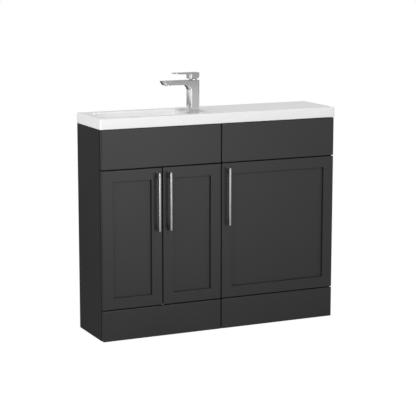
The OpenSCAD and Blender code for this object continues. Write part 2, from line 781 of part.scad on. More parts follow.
// Union nut that hangs on the trap's collar and screws onto the waste's tail
module trap_inlet_nut() color(pipe_white) {
    translate([waste_x, sink_mid_y, trap_top_z - 4]) difference() {
        union() {
            cylinder(r = inlet_nut_r, h = inlet_nut_h);
            for (a = [0:30:330]) rotate([0, 0, a]) translate([inlet_nut_r, 0, 0])
                cylinder(r = 1.2, h = inlet_nut_h);
        }
        translate([0, 0, -1]) cylinder(r = dip_r + slack, h = inlet_nut_h + 2);
        translate([0, 0, 2]) cylinder(r = waste_r + slack, h = inlet_nut_h);
    }
}

module trap_body() color(pipe_white) {
    collar_z = trap_top_z - 2 + slack;
    translate([waste_x, sink_mid_y, 0]) difference() {
        union() {
            translate([0, 0, collar_z]) cylinder(r = waste_r, h = trap_top_z + 2 - collar_z - slack);
            translate([0, 0, trap_floor_z + 12]) cylinder(r = dip_r, h = collar_z - trap_floor_z - 12 + eps);
            difference() {
                translate([0, 0, trap_skirt_z])
                    cylinder(r = trap_r, h = trap_top_z - 5 - trap_skirt_z);
                translate([0, 0, trap_skirt_z - 1])
                    cylinder(r = trap_r - trap_wall, h = trap_top_z - 5 - trap_wall - trap_skirt_z + 1);
            }
            difference() {
                translate([0, trap_r - trap_wall - 1, pipe_z])
                    rod_y(socket_r + trap_wall, socket_l);
                translate([0, socket_start, pipe_z]) rod_y(socket_r, socket_l);
                translate([0, 0, pipe_z]) rod_y(pipe_r - pipe_wall, socket_start + 1);
            }
        }
        translate([0, 0, trap_floor_z]) cylinder(r = dip_r - 2, h = trap_top_z - trap_floor_z + 5);
        difference() {
            translate([0, 0, pipe_z]) rod_y(pipe_r - pipe_wall, trap_r + 2);
            translate([0, 0, trap_floor_z]) cylinder(r = dip_r, h = trap_top_z - trap_floor_z);
        }
    }
}

module trap_bottle() color(pipe_white) {
    translate([waste_x, sink_mid_y, trap_floor_z]) difference() {
        union() {
            cylinder(r = trap_r + slack + bottle_wall, h = bottle_h);
            for (a = [0:30:330]) rotate([0, 0, a])
                translate([trap_r + bottle_wall, 0, 0]) cylinder(r = 1.5, h = 0.6 * bottle_h);
        }
        translate([0, 0, bottle_wall]) cylinder(r = trap_r + slack, h = bottle_h);
    }
}

// Straight pipe to the wall, with a slightly thinner spigot in the trap's socket
module trap_outlet_pipe() color(pipe_white) {
    start = sink_mid_y + socket_start + 1;
    mouth = sink_mid_y + socket_end;
    translate([waste_x, 0, pipe_z]) difference() {
        union() {
            translate([0, start, 0]) rod_y(spigot_r, mouth - start + eps);
            translate([0, mouth, 0]) rod_y(pipe_r, y_wall - mouth);
        }
        translate([0, start - 1, 0]) rod_y(pipe_r - pipe_wall, y_wall - start + 2);
    }
}

// ---------- tap ----------

module tap_base_seal() color(rubber_black) {
    translate([tap_x, tap_y, deck_z]) linear_extrude(tap_seal_t) difference() {
        polygon(cut_corners(-tap_w / 2 + 1, tap_w / 2 - 1, -tap_d / 2 + 1, tap_d / 2 - 1, tap_chamfer));
        circle(r = tap_hole_r - 2);
    }
}

// Column and spout in one casting, with the valve chamber and the waterways inside
module tap_body() color(chrome) {
    under = tap_top_z - spout_t;
    gusset_x = -tap_w / 2 - 11;
    gusset_z = under - 18;
    translate([tap_x, tap_y, 0]) difference() {
        union() {
            translate([0, 0, tap_z]) linear_extrude(tap_h)
                polygon(cut_corners(-tap_w / 2, tap_w / 2, -tap_d / 2, tap_d / 2, tap_chamfer));
            intersection() {
                rotate([90, 0, 0]) linear_extrude(tap_d, center = true)
                    polygon([[-spout_reach, tap_top_z], [-spout_reach + 10, under + 1.5],
                             [gusset_x - 4, under], [gusset_x, under - 2],
                             [-tap_w / 2 - 2, gusset_z + 5], [-tap_w / 2, gusset_z],
                             [0, gusset_z], [0, tap_top_z]]);
                translate([0, 0, tap_z]) linear_extrude(tap_h)
                    polygon(cut_corners(-spout_reach, tap_w / 2, -tap_d / 2, tap_d / 2, tap_chamfer));
            }
        }
        translate([0, 0, cartridge_floor_z]) cylinder(r = cartridge_r + slack, h = tap_h);
        translate([-outlet_reach, 0, tap_top_z - spout_t / 2 - 1]) rod_x(water_r, outlet_reach);
        translate([-outlet_reach, 0, under - 5]) cylinder(r = water_r, h = spout_t / 2 + 4);
        translate([-outlet_reach, 0, under - 5]) cylinder(r = aerator_r + slack, h = 5 + aerator_h - aerator_proud);
        for (s = [-1, 1]) translate([inlet_x, s * inlet_y, tap_z - eps]) {
            cylinder(r = inlet_r, h = inlet_l);
            cylinder(r = inlet_r - 0.25, h = cartridge_floor_z - tap_z + 1);
        }
        translate([stud_x, 0, tap_z - eps]) cylinder(r = stud_r + run, h = stud_in);
    }
}

// Stud in the body's foot, with a slotted clamping washer and a hexagon nut under the worktop
module tap_fixing() color(steel) {
    washer_z = cab_h - 3;
    translate([tap_x + stud_x, tap_y, 0]) {
        translate([0, 0, cab_h - stud_below])
            cylinder(r = stud_r, h = tap_z + stud_in - 1 - cab_h + stud_below);
        translate([0, 0, washer_z - 7]) difference() {
            cylinder(r = stud_r + 3.5, h = 7, $fn = 6);
            translate([0, 0, -1]) cylinder(r = stud_r + slack, h = 9);
        }
    }
    slot_w = 1.5 * tap_hole_r;
    translate([tap_x, tap_y, washer_z]) difference() {
        cylinder(r = tap_hole_r + 6, h = 3);
        translate([stud_x - stud_r - 2 - 3 * tap_hole_r, -slot_w / 2, -1])
            cube([3 * tap_hole_r, slot_w, 5]);
        translate([stud_x, 0, -1]) cylinder(r = stud_r + slack, h = 5);
    }
}

module aerator() color(chrome) {
    z = tap_top_z - spout_t - aerator_proud;
    translate([tap_x - outlet_reach, tap_y, z]) difference() {
        cylinder(r = aerator_r, h = aerator_h);
        translate([0, 0, 2]) cylinder(r = aerator_r - 2.5, h = aerator_h);
        for (a = [0:45:315]) rotate([0, 0, a]) translate([6, 0, -1]) cylinder(r = 1.4, h = 4);
        translate([0, 0, -1]) cylinder(r = 1.4, h = 4);
    }
}

// Ceramic disc cartridge, sealed: its top is open for the turning carrier
module tap_cartridge() color(pipe_white) {
    translate([tap_x, tap_y, 0]) difference() {
        translate([0, 0, cartridge_floor_z])
            cylinder(r = cartridge_r, h = cartridge_top_z - cartridge_floor_z);
        translate([0, 0, carrier_floor_z]) cylinder(r = carrier_r + run, h = 10);
    }
}

module cartridge_nut() color(chrome) {
    translate([tap_x, tap_y, 0]) difference() {
        union() {
            translate([0, 0, cartridge_top_z]) cylinder(r = cartridge_r, h = tap_top_z - cartridge_top_z + eps);
            translate([0, 0, tap_top_z]) cylinder(r = nut_r, h = nut_h);
        }
        translate([0, 0, cartridge_top_z - 1]) cylinder(r = carrier_r + run, h = nut_h + 5);
    }
}

// Turns with the lever from hot to cold, and holds the spindle's pivot
module cartridge_carrier() color(pipe_white) {
    translate([tap_x, tap_y, 0]) difference() {
        translate([0, 0, carrier_floor_z]) cylinder(r = carrier_r, h = pivot_z + 3 - carrier_floor_z);
        translate([-carrier_r - 1, -spindle_t / 2 - run, carrier_floor_z + 2])
            cube([2 * carrier_r + 2, spindle_t + 2 * run, 40]);
        translate([0, -carrier_r - 1, pivot_z]) rod_y(1.5 + run, 2 * carrier_r + 2);
    }
}

module lever_spindle() color(steel) {
    translate([tap_x, tap_y, pivot_z]) {
        translate([-spindle_w / 2, -spindle_t / 2, -5]) cube([spindle_w, spindle_t, lever_roof_z + 4 - pivot_z + 5]);
        translate([0, -carrier_r + 1, 0]) rod_y(1.5, 2 * carrier_r - 2);
    }
}

module tap_lever() color(chrome) {
    heel = tap_w / 2 - 11.5;
    translate([tap_x, tap_y, 0]) difference() {
        intersection() {
            rotate([90, 0, 0]) linear_extrude(tap_d, center = true)
                polygon([[-lever_reach, lever_top_z - 1.8], [-lever_reach + 2, lever_top_z],
                         [tap_w / 2, lever_top_z], [tap_w / 2, lever_z + 6], [heel, lever_z],
                         [-tap_w / 2, lever_z], [-tap_w / 2, lever_top_z - 5.5],
                         [-tap_w / 2 - 0.75 * (lever_reach - tap_w / 2), lever_top_z - 4]]);
            translate([0, 0, lever_z - 1]) linear_extrude(lever_top_z - lever_z + 2)
                polygon(cut_corners(-lever_reach, tap_w / 2, -tap_d / 2, tap_d / 2, tap_chamfer));
        }
        translate([0, 0, lever_z - 1]) cylinder(r = lever_bore_r, h = lever_roof_z - lever_z + 1);
        translate([-spindle_w / 2 - run, -spindle_t / 2 - run, lever_roof_z - 1])
            cube([spindle_w + 2 * run, spindle_t + 2 * run, 5 + run]);
    }
}

basin_cabinet_left_side();
basin_cabinet_right_side();
basin_cabinet_base();
basin_cabinet_back();
basin_cabinet_rails();
basin_cabinet_shelf();
basin_cabinet_fascia();
basin_cabinet_plinth();
cupboard_left_side();
cupboard_right_side();
cupboard_base();
cupboard_back();
cupboard_rails();
cupboard_shelf();
cupboard_fascia();
cupboard_plinth();
corner_dowels();
corner_blocks();
shelf_pins();
cabinet_bolts();
door_bumpers();
left_door();
middle_door();
right_door();
left_handle();
middle_handle();
right_handle();
left_handle_screws();
middle_handle_screws();
right_handle_screws();
left_hinge_cups();
middle_hinge_cups();
right_hinge_cups();
left_hinge_pins();
middle_hinge_pins();
right_hinge_pins();
left_hinge_arms();
middle_hinge_arms();
right_hinge_arms();
hinge_plates();
hinge_plate_screws();
basin_worktop();
overflow_ring();
waste_body();
waste_plug();
waste_washers();
waste_back_nut();
trap_inlet_nut();
trap_body();
trap_bottle();
trap_outlet_pipe();
tap_base_seal();
tap_body();
tap_fixing();
aerator();
tap_cartridge();
cartridge_nut();
cartridge_carrier();
lever_spindle();
tap_lever();
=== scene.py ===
"""A slim two-door basin cabinet and a one-door cupboard under one white basin worktop.

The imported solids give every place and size. The pieces below dress them, in the order in which the
unit is put together. Lengths are in metres unless a comment says millimetres.
"""
import math
import bmesh
import bpy
import numpy as np
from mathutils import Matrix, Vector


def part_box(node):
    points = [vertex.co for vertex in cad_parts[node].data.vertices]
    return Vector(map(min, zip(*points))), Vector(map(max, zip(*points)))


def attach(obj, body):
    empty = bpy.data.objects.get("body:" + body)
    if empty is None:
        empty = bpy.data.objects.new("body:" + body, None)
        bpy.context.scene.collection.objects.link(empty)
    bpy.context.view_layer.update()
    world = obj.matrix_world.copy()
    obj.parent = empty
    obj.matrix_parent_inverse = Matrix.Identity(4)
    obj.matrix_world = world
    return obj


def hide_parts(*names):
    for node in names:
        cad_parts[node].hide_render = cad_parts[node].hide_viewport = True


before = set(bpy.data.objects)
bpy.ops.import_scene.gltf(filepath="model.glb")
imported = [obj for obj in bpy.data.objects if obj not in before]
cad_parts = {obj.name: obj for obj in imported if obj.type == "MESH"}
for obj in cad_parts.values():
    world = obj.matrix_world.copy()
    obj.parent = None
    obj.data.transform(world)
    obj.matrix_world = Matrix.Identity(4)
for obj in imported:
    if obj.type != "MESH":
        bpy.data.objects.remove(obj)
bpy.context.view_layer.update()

# ---- Side boards -------------------------------------------------------------------------------
# 18 mm melamine-faced board, standing on the floor and drilled inside for the shelf pins. The two
# outer ones show beside the doors, so they get eased edges.
MM = 0.001
EDGE = 1.0 * MM                      # what a trimmer takes off an 18 mm board's edges
PIN_ROWS = [(y, z) for y in (-0.050, 0.0705) for z in (0.36545, 0.39745, 0.42945)]
PIN_RADIUS, PIN_DEPTH = 2.55 * MM, 9 * MM
PROUD = 1 * MM                       # how far a cutter starts outside the face that it cuts
CREASE = math.radians(32)            # faces that meet at a larger angle are shaded with an edge


def linear(hex_code):
    """Turns an sRGB hex colour to opaque linear light, each channel by the sRGB curve."""
    part = np.array([int(hex_code[i:i + 2], 16) / 255 for i in (1, 3, 5)])
    light = np.where(part <= 0.04045, part / 12.92, ((part + 0.055) / 1.055) ** 2.4)
    return (*light.tolist(), 1.0)


def add(tree, kind, inputs=None, **settings):
    """Adds a node, sets its settings, and sets or links its inputs, named or numbered."""
    node = tree.nodes.new(kind)
    for name, value in settings.items():
        setattr(node, name, value)
    for name, value in (inputs or {}).items():
        if isinstance(value, bpy.types.NodeSocket):
            tree.links.new(value, node.inputs[name])
        else:
            node.inputs[name].default_value = value
    return node


def finish(name):
    """An empty node material of that name, its tree and its object coordinates."""
    made = bpy.data.materials.new(name)
    made.use_nodes = True
    made.node_tree.nodes.clear()
    place = add(made.node_tree, "ShaderNodeTexCoord").outputs["Object"]
    return made, made.node_tree, place


def wear(tree, shader):
    """Gives the material its shader."""
    add(tree, "ShaderNodeOutputMaterial", {"Surface": shader.outputs["BSDF"]})


def dress(node, material):
    """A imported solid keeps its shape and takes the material."""
    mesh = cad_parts[node].data
    mesh.materials.clear()
    mesh.materials.append(material)


def solid(name, points, faces, material, body, replaced):
    """Points and faces as one closed piece: normals outwards, smooth below the crease angle."""
    mesh = bpy.data.meshes.new(name)
    mesh.from_pydata(np.asarray(points, float).reshape(-1, 3).tolist(), [], faces)
    shell = bmesh.new()
    shell.from_mesh(mesh)
    bmesh.ops.recalc_face_normals(shell, faces=shell.faces)
    shell.to_mesh(mesh)
    shell.free()
    mesh.polygons.foreach_set("use_smooth", np.ones(len(mesh.polygons), bool))
    mesh.set_sharp_from_angle(angle=CREASE)
    mesh.materials.append(material)
    piece = bpy.data.objects.new(name, mesh)
    bpy.context.scene.collection.objects.link(piece)
    if body:
        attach(piece, body)
    if replaced:
        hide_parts(*replaced)
    return piece


def skin_faces(rings, points, closed_ends=True):
    """Quads from each ring to the next, with one face over each end."""
    i, j = np.meshgrid(np.arange(rings - 1), np.arange(points), indexing="ij")
    a, b = i * points + j, i * points + (j + 1) % points
    quads = np.stack([a, b, b + points, a + points], -1).reshape(-1, 4).tolist()
    if closed_ends:
        quads += [list(range(points))[::-1], list(range((rings - 1) * points, rings * points))]
    return quads


def rounded_rectangle(half_w, half_h, radius, steps=4):
    """Four quarter circles of the radius round the corners of a rectangle, joined by straight sides."""
    corner = np.repeat(np.arange(4), steps + 1)
    angle = corner * math.pi / 2 + np.tile(np.linspace(0, math.pi / 2, steps + 1), 4)
    sign_x = np.where((corner == 0) | (corner == 3), 1, -1)
    sign_y = np.where(corner < 2, 1, -1)
    return np.stack([sign_x * (half_w - radius) + radius * np.cos(angle),
                     sign_y * (half_h - radius) + radius * np.sin(angle)], 1)


def quarter(steps=4):
    """Sine and cosine over a quarter turn."""
    turn = np.linspace(0, math.pi / 2, steps + 1)
    return np.sin(turn), np.cos(turn)


def eased(depth, edge):
    """(inset, height) up a board's edge: a quarter circle off each arris, and a narrow flat inside it."""
    sin, cos = quarter()
    low = np.stack([edge * (1 - sin), edge * (1 - cos)], 1)
    high = low[::-1] * (1, -1) + (0, depth)
    return np.concatenate([[(edge + 0.4 * MM, 0)], low, high, [(edge + 0.4 * MM, depth)]])


def stacked(low, high, axis, profile, radius):
    """Rectangles inset by the profile, stacked along an axis between two corners of a box."""
    low, high = np.array(low), np.array(high)
    flat = [k for k in range(3) if k != axis]
    half = (high - low)[flat] / 2
    middle = (high + low)[flat] / 2
    rings = []
    for inset, height in profile:
        outline = rounded_rectangle(*(half - inset), max(radius - inset, 0.1 * MM))
        ring = np.zeros((len(outline), 3))
        ring[:, flat] = middle + outline
        ring[:, axis] = low[axis] + height
        rings.append(ring)
    return np.array(rings)


def peg(start, end, radius, sides):
    """A closed cylinder between two points, for cutting."""
    start, end = np.array(start, float), np.array(end, float)
    along = (end - start) / np.linalg.norm(end - start)
    across = np.cross(along, (0, 0, 1) if abs(along[2]) < 0.9 else (1, 0, 0))
    across /= np.linalg.norm(across)
    up = np.cross(along, across)
    turn = np.linspace(0, 2 * math.pi, sides, endpoint=False)[:, None]
    circle = radius * (np.cos(turn) * across + np.sin(turn) * up)
    return solid("peg", [start + circle, end + circle], skin_faces(2, sides), None, None, None)


def drilled(piece, pegs):
    """Cuts the pegs out of the piece's mesh, and removes them."""
    for cutter in pegs:
        cut = piece.modifiers.new("cut", "BOOLEAN")
        cut.object = cutter
        cut.solver = "EXACT"
    bpy.context.view_layer.update()
    shaped = bpy.data.meshes.new_from_object(piece.evaluated_get(bpy.context.evaluated_depsgraph_get()))
    piece.modifiers.clear()
    name = piece.data.name
    piece.data = shaped
    shaped.name = name
    shaped.polygons.foreach_set("use_smooth", np.ones(len(shaped.polygons), bool))
    shaped.set_sharp_from_angle(angle=CREASE)
    for cutter in pegs:
        bpy.data.objects.remove(cutter)


# Melamine-faced board: a printed paper pressed into resin. It is even and slightly pearled, so the
# eye gets a satin sheen that breaks up very finely, and the colour hardly varies.
melamine, tree, place = finish("anthracite_melamine")
pearl = add(tree, "ShaderNodeTexNoise", {"Vector": place, "Scale": 900.0, "Detail": 3.0})
cloud = add(tree, "ShaderNodeTexNoise", {"Vector": place, "Scale": 6.0, "Detail": 2.0})
shade = add(tree, "ShaderNodeMix", {"Factor": cloud.outputs["Fac"], "A": linear("#272727"),
                                    "B": linear("#2B2B2B")}, data_type="RGBA")
tone = add(tree, "ShaderNodeMapRange", {"Value": pearl.outputs["Fac"], "To Min": 0.58, "To Max": 0.70})
grain = add(tree, "ShaderNodeBump", {"Height": pearl.outputs["Fac"], "Strength": 0.06, "Distance": 0.0004})
wear(tree, add(tree, "ShaderNodeBsdfPrincipled", {
    "Base Color": shade.outputs["Result"], "Roughness": tone.outputs["Result"],
    "Normal": grain.outputs["Normal"], "IOR": 1.5, "Specular IOR Level": 0.15}))

for node in ("basin_cabinet_left_side", "cupboard_right_side"):
    low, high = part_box(node)
    rings = stacked(low, high, 0, eased(high[0] - low[0], EDGE), EDGE)
    inner = high[0] if node.startswith("basin") else low[0]
    into = -1 if node.startswith("basin") else 1
    board = solid(node + "_board", rings, skin_faces(*rings.shape[:2]), melamine, "cabinet",
                  [node])
    drilled(board, [peg((inner - into * PROUD, y, z), (inner + into * PIN_DEPTH, y, z), PIN_RADIUS, 16)
                    for y, z in PIN_ROWS])
for node in ("basin_cabinet_right_side", "cupboard_left_side"):
    dress(node, melamine)

# ---- Bases, rails, shelves and backs -----------------------------------------------------------
# Boards of the same melamine inside both cabinets, dowelled between the sides, and thin back
# panels in grooves.
for cabinet in ("basin_cabinet", "cupboard"):
    for board in ("_base", "_rails", "_shelf"):
        dress(cabinet + board, melamine)

# Thin hardboard with a grey print: the pressed fibres show as a fine mottle.
hardboard, tree, place = finish("printed_hardboard")
fibre = add(tree, "ShaderNodeTexNoise", {"Vector": place, "Scale": 350.0, "Detail": 5.0, "Roughness": 0.65})
shade = add(tree, "ShaderNodeMix", {"Factor": fibre.outputs["Fac"], "A": linear("#4C4C4C"),
                                    "B": linear("#636363")}, data_type="RGBA")
grain = add(tree, "ShaderNodeBump", {"Height": fibre.outputs["Fac"], "Strength": 0.15, "Distance": 0.0003})
wear(tree, add(tree, "ShaderNodeBsdfPrincipled", {
    "Base Color": shade.outputs["Result"], "Roughness": 0.62, "Normal": grain.outputs["Normal"]}))
dress("basin_cabinet_back", hardboard)
dress("cupboard_back", hardboard)

# ---- Dowels, corner blocks, shelf pins, bolts and bumpers --------------------------------------
# Turned beech dowels, moulded nylon blocks and door pads, and zinc-plated pins and sleeve bolts.
# All are pushed or screwed in where the boards meet.

# Beech: short brown flecks along the grain, which runs along each dowel.
beech, tree, place = finish("beech")
along = add(tree, "ShaderNodeMapping", {"Vector": place, "Scale": (60.0, 700.0, 700.0)})
fleck = add(tree, "ShaderNodeTexNoise", {"Vector": along.outputs["Vector"], "Scale": 1.0, "Detail": 4.0})
shade = add(tree, "ShaderNodeMix", {"Factor": fleck.outputs["Fac"], "A": linear("#A87848"),
                                    "B": linear("#D0A878")}, data_type="RGBA")
wear(tree, add(tree, "ShaderNodeBsdfPrincipled", {"Base Color": shade.outputs["Result"], "Roughness": 0.6}))
dress("corner_dowels", beech)

# Nylon: slightly waxy, a little light goes in, and the mould leaves a fine matt skin.
nylon, tree, place = finish("moulded_nylon")
skin = add(tree, "ShaderNodeTexNoise", {"Vector": place, "Scale": 1200.0, "Detail": 2.0})
tone = add(tree, "ShaderNodeMapRange", {"Value": skin.outputs["Fac"], "To Min": 0.34, "To Max": 0.5})
grain = add(tree, "ShaderNodeBump", {"Height": skin.outputs["Fac"], "Strength": 0.08, "Distance": 0.0002})
wear(tree, add(tree, "ShaderNodeBsdfPrincipled", {
    "Base Color": linear("#D5D6D4"), "Roughness": tone.outputs["Result"], "IOR": 1.53,
    "Normal": grain.outputs["Normal"], "Subsurface Weight": 0.1, "Subsurface Scale": 0.002}))
for node in ("corner_blocks", "door_bumpers", "tap_cartridge", "cartridge_carrier"):
    dress(node, nylon)

# Zinc plate: bright, with the cloudy spangle of thin plating.
zinc, tree, place = finish("zinc_plated_steel")
spangle = add(tree, "ShaderNodeTexVoronoi", {"Vector": place, "Scale": 500.0})
tone = add(tree, "ShaderNodeMapRange", {"Value": spangle.outputs["Distance"], "To Min": 0.24, "To Max": 0.42})
wear(tree, add(tree, "ShaderNodeBsdfPrincipled", {
    "Base Color": linear("#B4B6B8"), "Metallic": 1.0, "Roughness": tone.outputs["Result"]}))
for node in ("shelf_pins", "cabinet_bolts", "left_handle_screws", "middle_handle_screws",
             "right_handle_screws", "hinge_plate_screws", "lever_spindle", "tap_fixing",
             "left_hinge_pins", "middle_hinge_pins", "right_hinge_pins"):
    dress(node, zinc)

# ---- Hinges ------------------------------------------------------------------------------------
# Nickel-plated steel pressings: cups let into the doors, goose-neck arms, and plates that are
# screwed to the sides.

# Pressed plate: smoother than zinc, with faint drawing lines from the press.
nickel_plate, tree, place = finish("nickel_plated_pressing")
drawn = add(tree, "ShaderNodeMapping", {"Vector": place, "Scale": (300.0, 60.0, 900.0)})
streak = add(tree, "ShaderNodeTexNoise", {"Vector": drawn.outputs["Vector"], "Scale": 1.0, "Detail": 2.0})
tone = add(tree, "ShaderNodeMapRange", {"Value": streak.outputs["Fac"], "To Min": 0.18, "To Max": 0.34})
wear(tree, add(tree, "ShaderNodeBsdfPrincipled", {
    "Base Color": linear("#BDBBB6"), "Metallic": 1.0, "Roughness": tone.outputs["Result"]}))
for node in ("left_hinge_cups", "middle_hinge_cups", "right_hinge_cups", "left_hinge_arms",
             "middle_hinge_arms", "right_hinge_arms", "hinge_plates"):
    dress(node, nickel_plate)

# ---- Fascias, plinths and doors ----------------------------------------------------------------
# MDF cut by router and sprayed with matt lacquer: each door has a raised frame and a flat panel
# 9 mm lower, with the fine groove that the router leaves at the frame's foot, and all edges carry
# the softening that a sanded and sprayed arris has.
FRONT_EDGE = 2.0 * MM
FRAME = 44 * MM
RECESS = 9 * MM
GROOVE = 1.1 * MM
CUP_RADIUS, CUP_DEPTH = 17.6 * MM, 13.6 * MM
CUP_FROM_SIDE, CUP_FROM_END = 20.5 * MM, 85 * MM

# Sprayed lacquer on MDF: matt to satin, with a very low orange peel of 3 to 4 mm, drawn as it is.
lacquer, tree, place = finish("anthracite_lacquer")
peel = add(tree, "ShaderNodeTexNoise", {"Vector": place, "Scale": 280.0, "Detail": 1.0})
dust = add(tree, "ShaderNodeTexNoise", {"Vector": place, "Scale": 2400.0, "Detail": 2.0})
cloud = add(tree, "ShaderNodeTexNoise", {"Vector": place, "Scale": 5.0, "Detail": 3.0})
shade = add(tree, "ShaderNodeMix", {"Factor": cloud.outputs["Fac"], "A": linear("#202020"),
                                    "B": linear("#242424")}, data_type="RGBA")
tone = add(tree, "ShaderNodeMapRange", {"Value": dust.outputs["Fac"], "To Min": 0.42, "To Max": 0.52})
grain = add(tree, "ShaderNodeBump", {"Height": peel.outputs["Fac"], "Strength": 0.05, "Distance": 0.0004})
wear(tree, add(tree, "ShaderNodeBsdfPrincipled", {
    "Base Color": shade.outputs["Result"], "Roughness": tone.outputs["Result"],
    "Normal": grain.outputs["Normal"], "IOR": 1.5}))


def front(node, body, framed):
    """A front as rectangles carried along its edge: back, side, soft arris, frame, step, groove, panel."""
    low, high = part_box(node)
    deep = high[1] - low[1]
    sin, cos = quarter()
    soft, small, flat = FRONT_EDGE, 0.8 * MM, 0.6 * MM
    back = np.stack([EDGE * (1 - sin), deep - EDGE * (1 - cos)], 1)
    arris = np.stack([soft * (1 - cos), soft * (1 - sin)], 1)
    path = [[(EDGE + 0.4 * MM, deep)], back, arris, [(soft + flat, 0)]]
    if framed:
        lip = np.stack([FRAME - small * (1 - sin), small * (1 - cos)], 1)
        groove = [(FRAME, RECESS), (FRAME, RECESS + GROOVE), (FRAME + GROOVE, RECESS + GROOVE),
                  (FRAME + GROOVE, RECESS + 0.3 * MM), (FRAME + GROOVE + 0.3 * MM, RECESS)]
        path += [[(FRAME - small - flat, 0)], lip, groove, [(FRAME + GROOVE + MM, RECESS)]]
    rings = stacked(low, high, 1, np.concatenate(path), 1.5 * MM)
    return solid(node + "_front", rings, skin_faces(*rings.shape[:2]), lacquer, body, [node])


for node in ("basin_cabinet_fascia", "basin_cabinet_plinth", "cupboard_fascia", "cupboard_plinth"):
    front(node, "cabinet", False)
for side in ("left", "middle", "right"):
    leaf = front(side + "_door", side + "_door", True)
    low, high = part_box(side + "_door")
    cup = low[0] + CUP_FROM_SIDE if side == "left" else high[0] - CUP_FROM_SIDE
    drilled(leaf, [peg((cup, high[1] - CUP_DEPTH, z), (cup, high[1] + PROUD, z), CUP_RADIUS, 64)
                   for z in (low[2] + CUP_FROM_END, high[2] - CUP_FROM_END)])

# ---- Bar handles -------------------------------------------------------------------------------
# Zinc castings, square in section with eased arrises, satin nickel plated, and held by two screws
# each through the door.
HANDLE_BAR, HANDLE_LEG = 8 * MM, 22 * MM
HANDLE_EDGE = 0.8 * MM

# Satin nickel: fine brushing along the bar, so its roughness changes quickly across the bar.
satin_nickel, tree, place = finish("satin_nickel")
brushed = add(tree, "ShaderNodeMapping", {"Vector": place, "Scale": (2600.0, 2600.0, 40.0)})
streak = add(tree, "ShaderNodeTexNoise", {"Vector": brushed.outputs["Vector"], "Scale": 1.0, "Detail": 2.0})
tone = add(tree, "ShaderNodeMapRange", {"Value": streak.outputs["Fac"], "To Min": 0.40, "To Max": 0.54})
grain = add(tree, "ShaderNodeBump", {"Height": streak.outputs["Fac"], "Strength": 0.08, "Distance": 0.0002})
wear(tree, add(tree, "ShaderNodeBsdfPrincipled", {
    "Base Color": linear("#B9B9B8"), "Metallic": 1.0, "Roughness": tone.outputs["Result"],
    "Normal": grain.outputs["Normal"]}))


def inwards(outline, distance):
    """Moves each corner of an outline in along its mitre, so that every side moves by the distance."""
    ahead = np.roll(outline, -1, 0) - outline
    ahead /= np.linalg.norm(ahead, axis=1)[:, None]
    normal = np.stack([-ahead[:, 1], ahead[:, 0]], 1)
    before = np.roll(normal, 1, 0)
    mitre = (normal + before) / (1 + (normal * before).sum(1))[:, None]
    return outline + distance * mitre


def softened(corners, cut, steps=3):
    """Replaces each corner by a parabola between two points that far along its two sides."""
    corners = np.asarray(corners, float)
    ahead, behind = np.roll(corners, -1, 0) - corners, np.roll(corners, 1, 0) - corners
    length_a = np.linalg.norm(ahead, axis=1)[:, None]
    length_b = np.linalg.norm(behind, axis=1)[:, None]
    start = corners + behind / length_b * np.minimum(cut, 0.45 * length_b)
    end = corners + ahead / length_a * np.minimum(cut, 0.45 * length_a)
    t = np.linspace(0, 1, steps + 1)[None, :, None]
    curve = (1 - t) ** 2 * start[:, None] + 2 * t * (1 - t) * corners[:, None] + t ** 2 * end[:, None]
    return curve.reshape(-1, 2)


def stepped(corners, inset, edge):
    """The outline moved in by the inset, with what the inset leaves of its arris round on each corner."""
    return softened(inwards(np.asarray(corners, float), inset), max(edge - inset, 0.12 * edge))


def extruded(name, corners, axis, start, end, edge, material, body, replaced):
    """An outline, anticlockwise, carried along an axis, its end arrises rounded by stepping it inwards."""
    sin, cos = quarter()
    steps = np.concatenate([np.stack([edge * (1 - sin), edge * (1 - cos)], 1),
                            np.stack([edge * (1 - sin), (end - start) - edge * (1 - cos)], 1)[::-1]])
    steps = np.concatenate([[(edge + 0.2 * MM, 0)], steps, [(edge + 0.2 * MM, end - start)]])
    flat = [k for k in range(3) if k != axis]
    outlines = np.array([stepped(corners, inset, edge) for inset, _ in steps])
    rings = np.zeros((*outlines.shape[:2], 3))
    rings[:, :, flat] = outlines
    rings[:, :, axis] = start + steps[:, 1:2]
    return solid(name, rings, skin_faces(*rings.shape[:2]), material, body, replaced)


for side in ("left", "middle", "right"):
    low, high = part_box(side + "_handle")
    grip = [(low[1], low[2]), (high[1], low[2]), (high[1], low[2] + HANDLE_LEG),
            (low[1] + HANDLE_BAR, low[2] + HANDLE_LEG), (low[1] + HANDLE_BAR, high[2] - HANDLE_LEG),
            (high[1], high[2] - HANDLE_LEG), (high[1], high[2]), (low[1], high[2])]
    extruded(side + "_bar_handle", grip, 0, low[0], high[0], HANDLE_EDGE,
             satin_nickel, side + "_door", [side + "_handle"])

# ---- Basin worktop -----------------------------------------------------------------------------
# Cast polymer marble: a 40 mm slab over both cabinets, a bowl with a flat sunken deck for the tap,
# and the bowl's thick outside hanging in the cabinet. Demoulding rounds every edge.
SLAB_TOP, SLAB_UNDER = 0.858, 0.818
SLAB_LOW, SLAB_HIGH = np.array([-0.503, -0.1125]), np.array([0.503, 0.1425])
SLAB_EDGE, SLAB_CORNER = 2.5 * MM, 5 * MM
SINK_LOW, SINK_HIGH = np.array([-0.463, -0.0725]), np.array([-0.023, 0.1025])
SINK_CORNER = 12 * MM
SLOPE_TOP = -0.102                   # where the bowl's slope meets the deck
SHELL_LOW, SHELL_HIGH = (-0.471, -0.0905), (-0.020, 0.1105)
SHELL_SLOPE_TOP = -0.094
WASTE = np.array([-0.285, 0.015])
TAP = np.array([-0.064, 0.015])
TAP_HOLE_RADIUS, WASTE_HOLE_RADIUS, OVERFLOW_RADIUS = 17.5 * MM, 22.5 * MM, 10.1 * MM
OVERFLOW_Z = 0.837

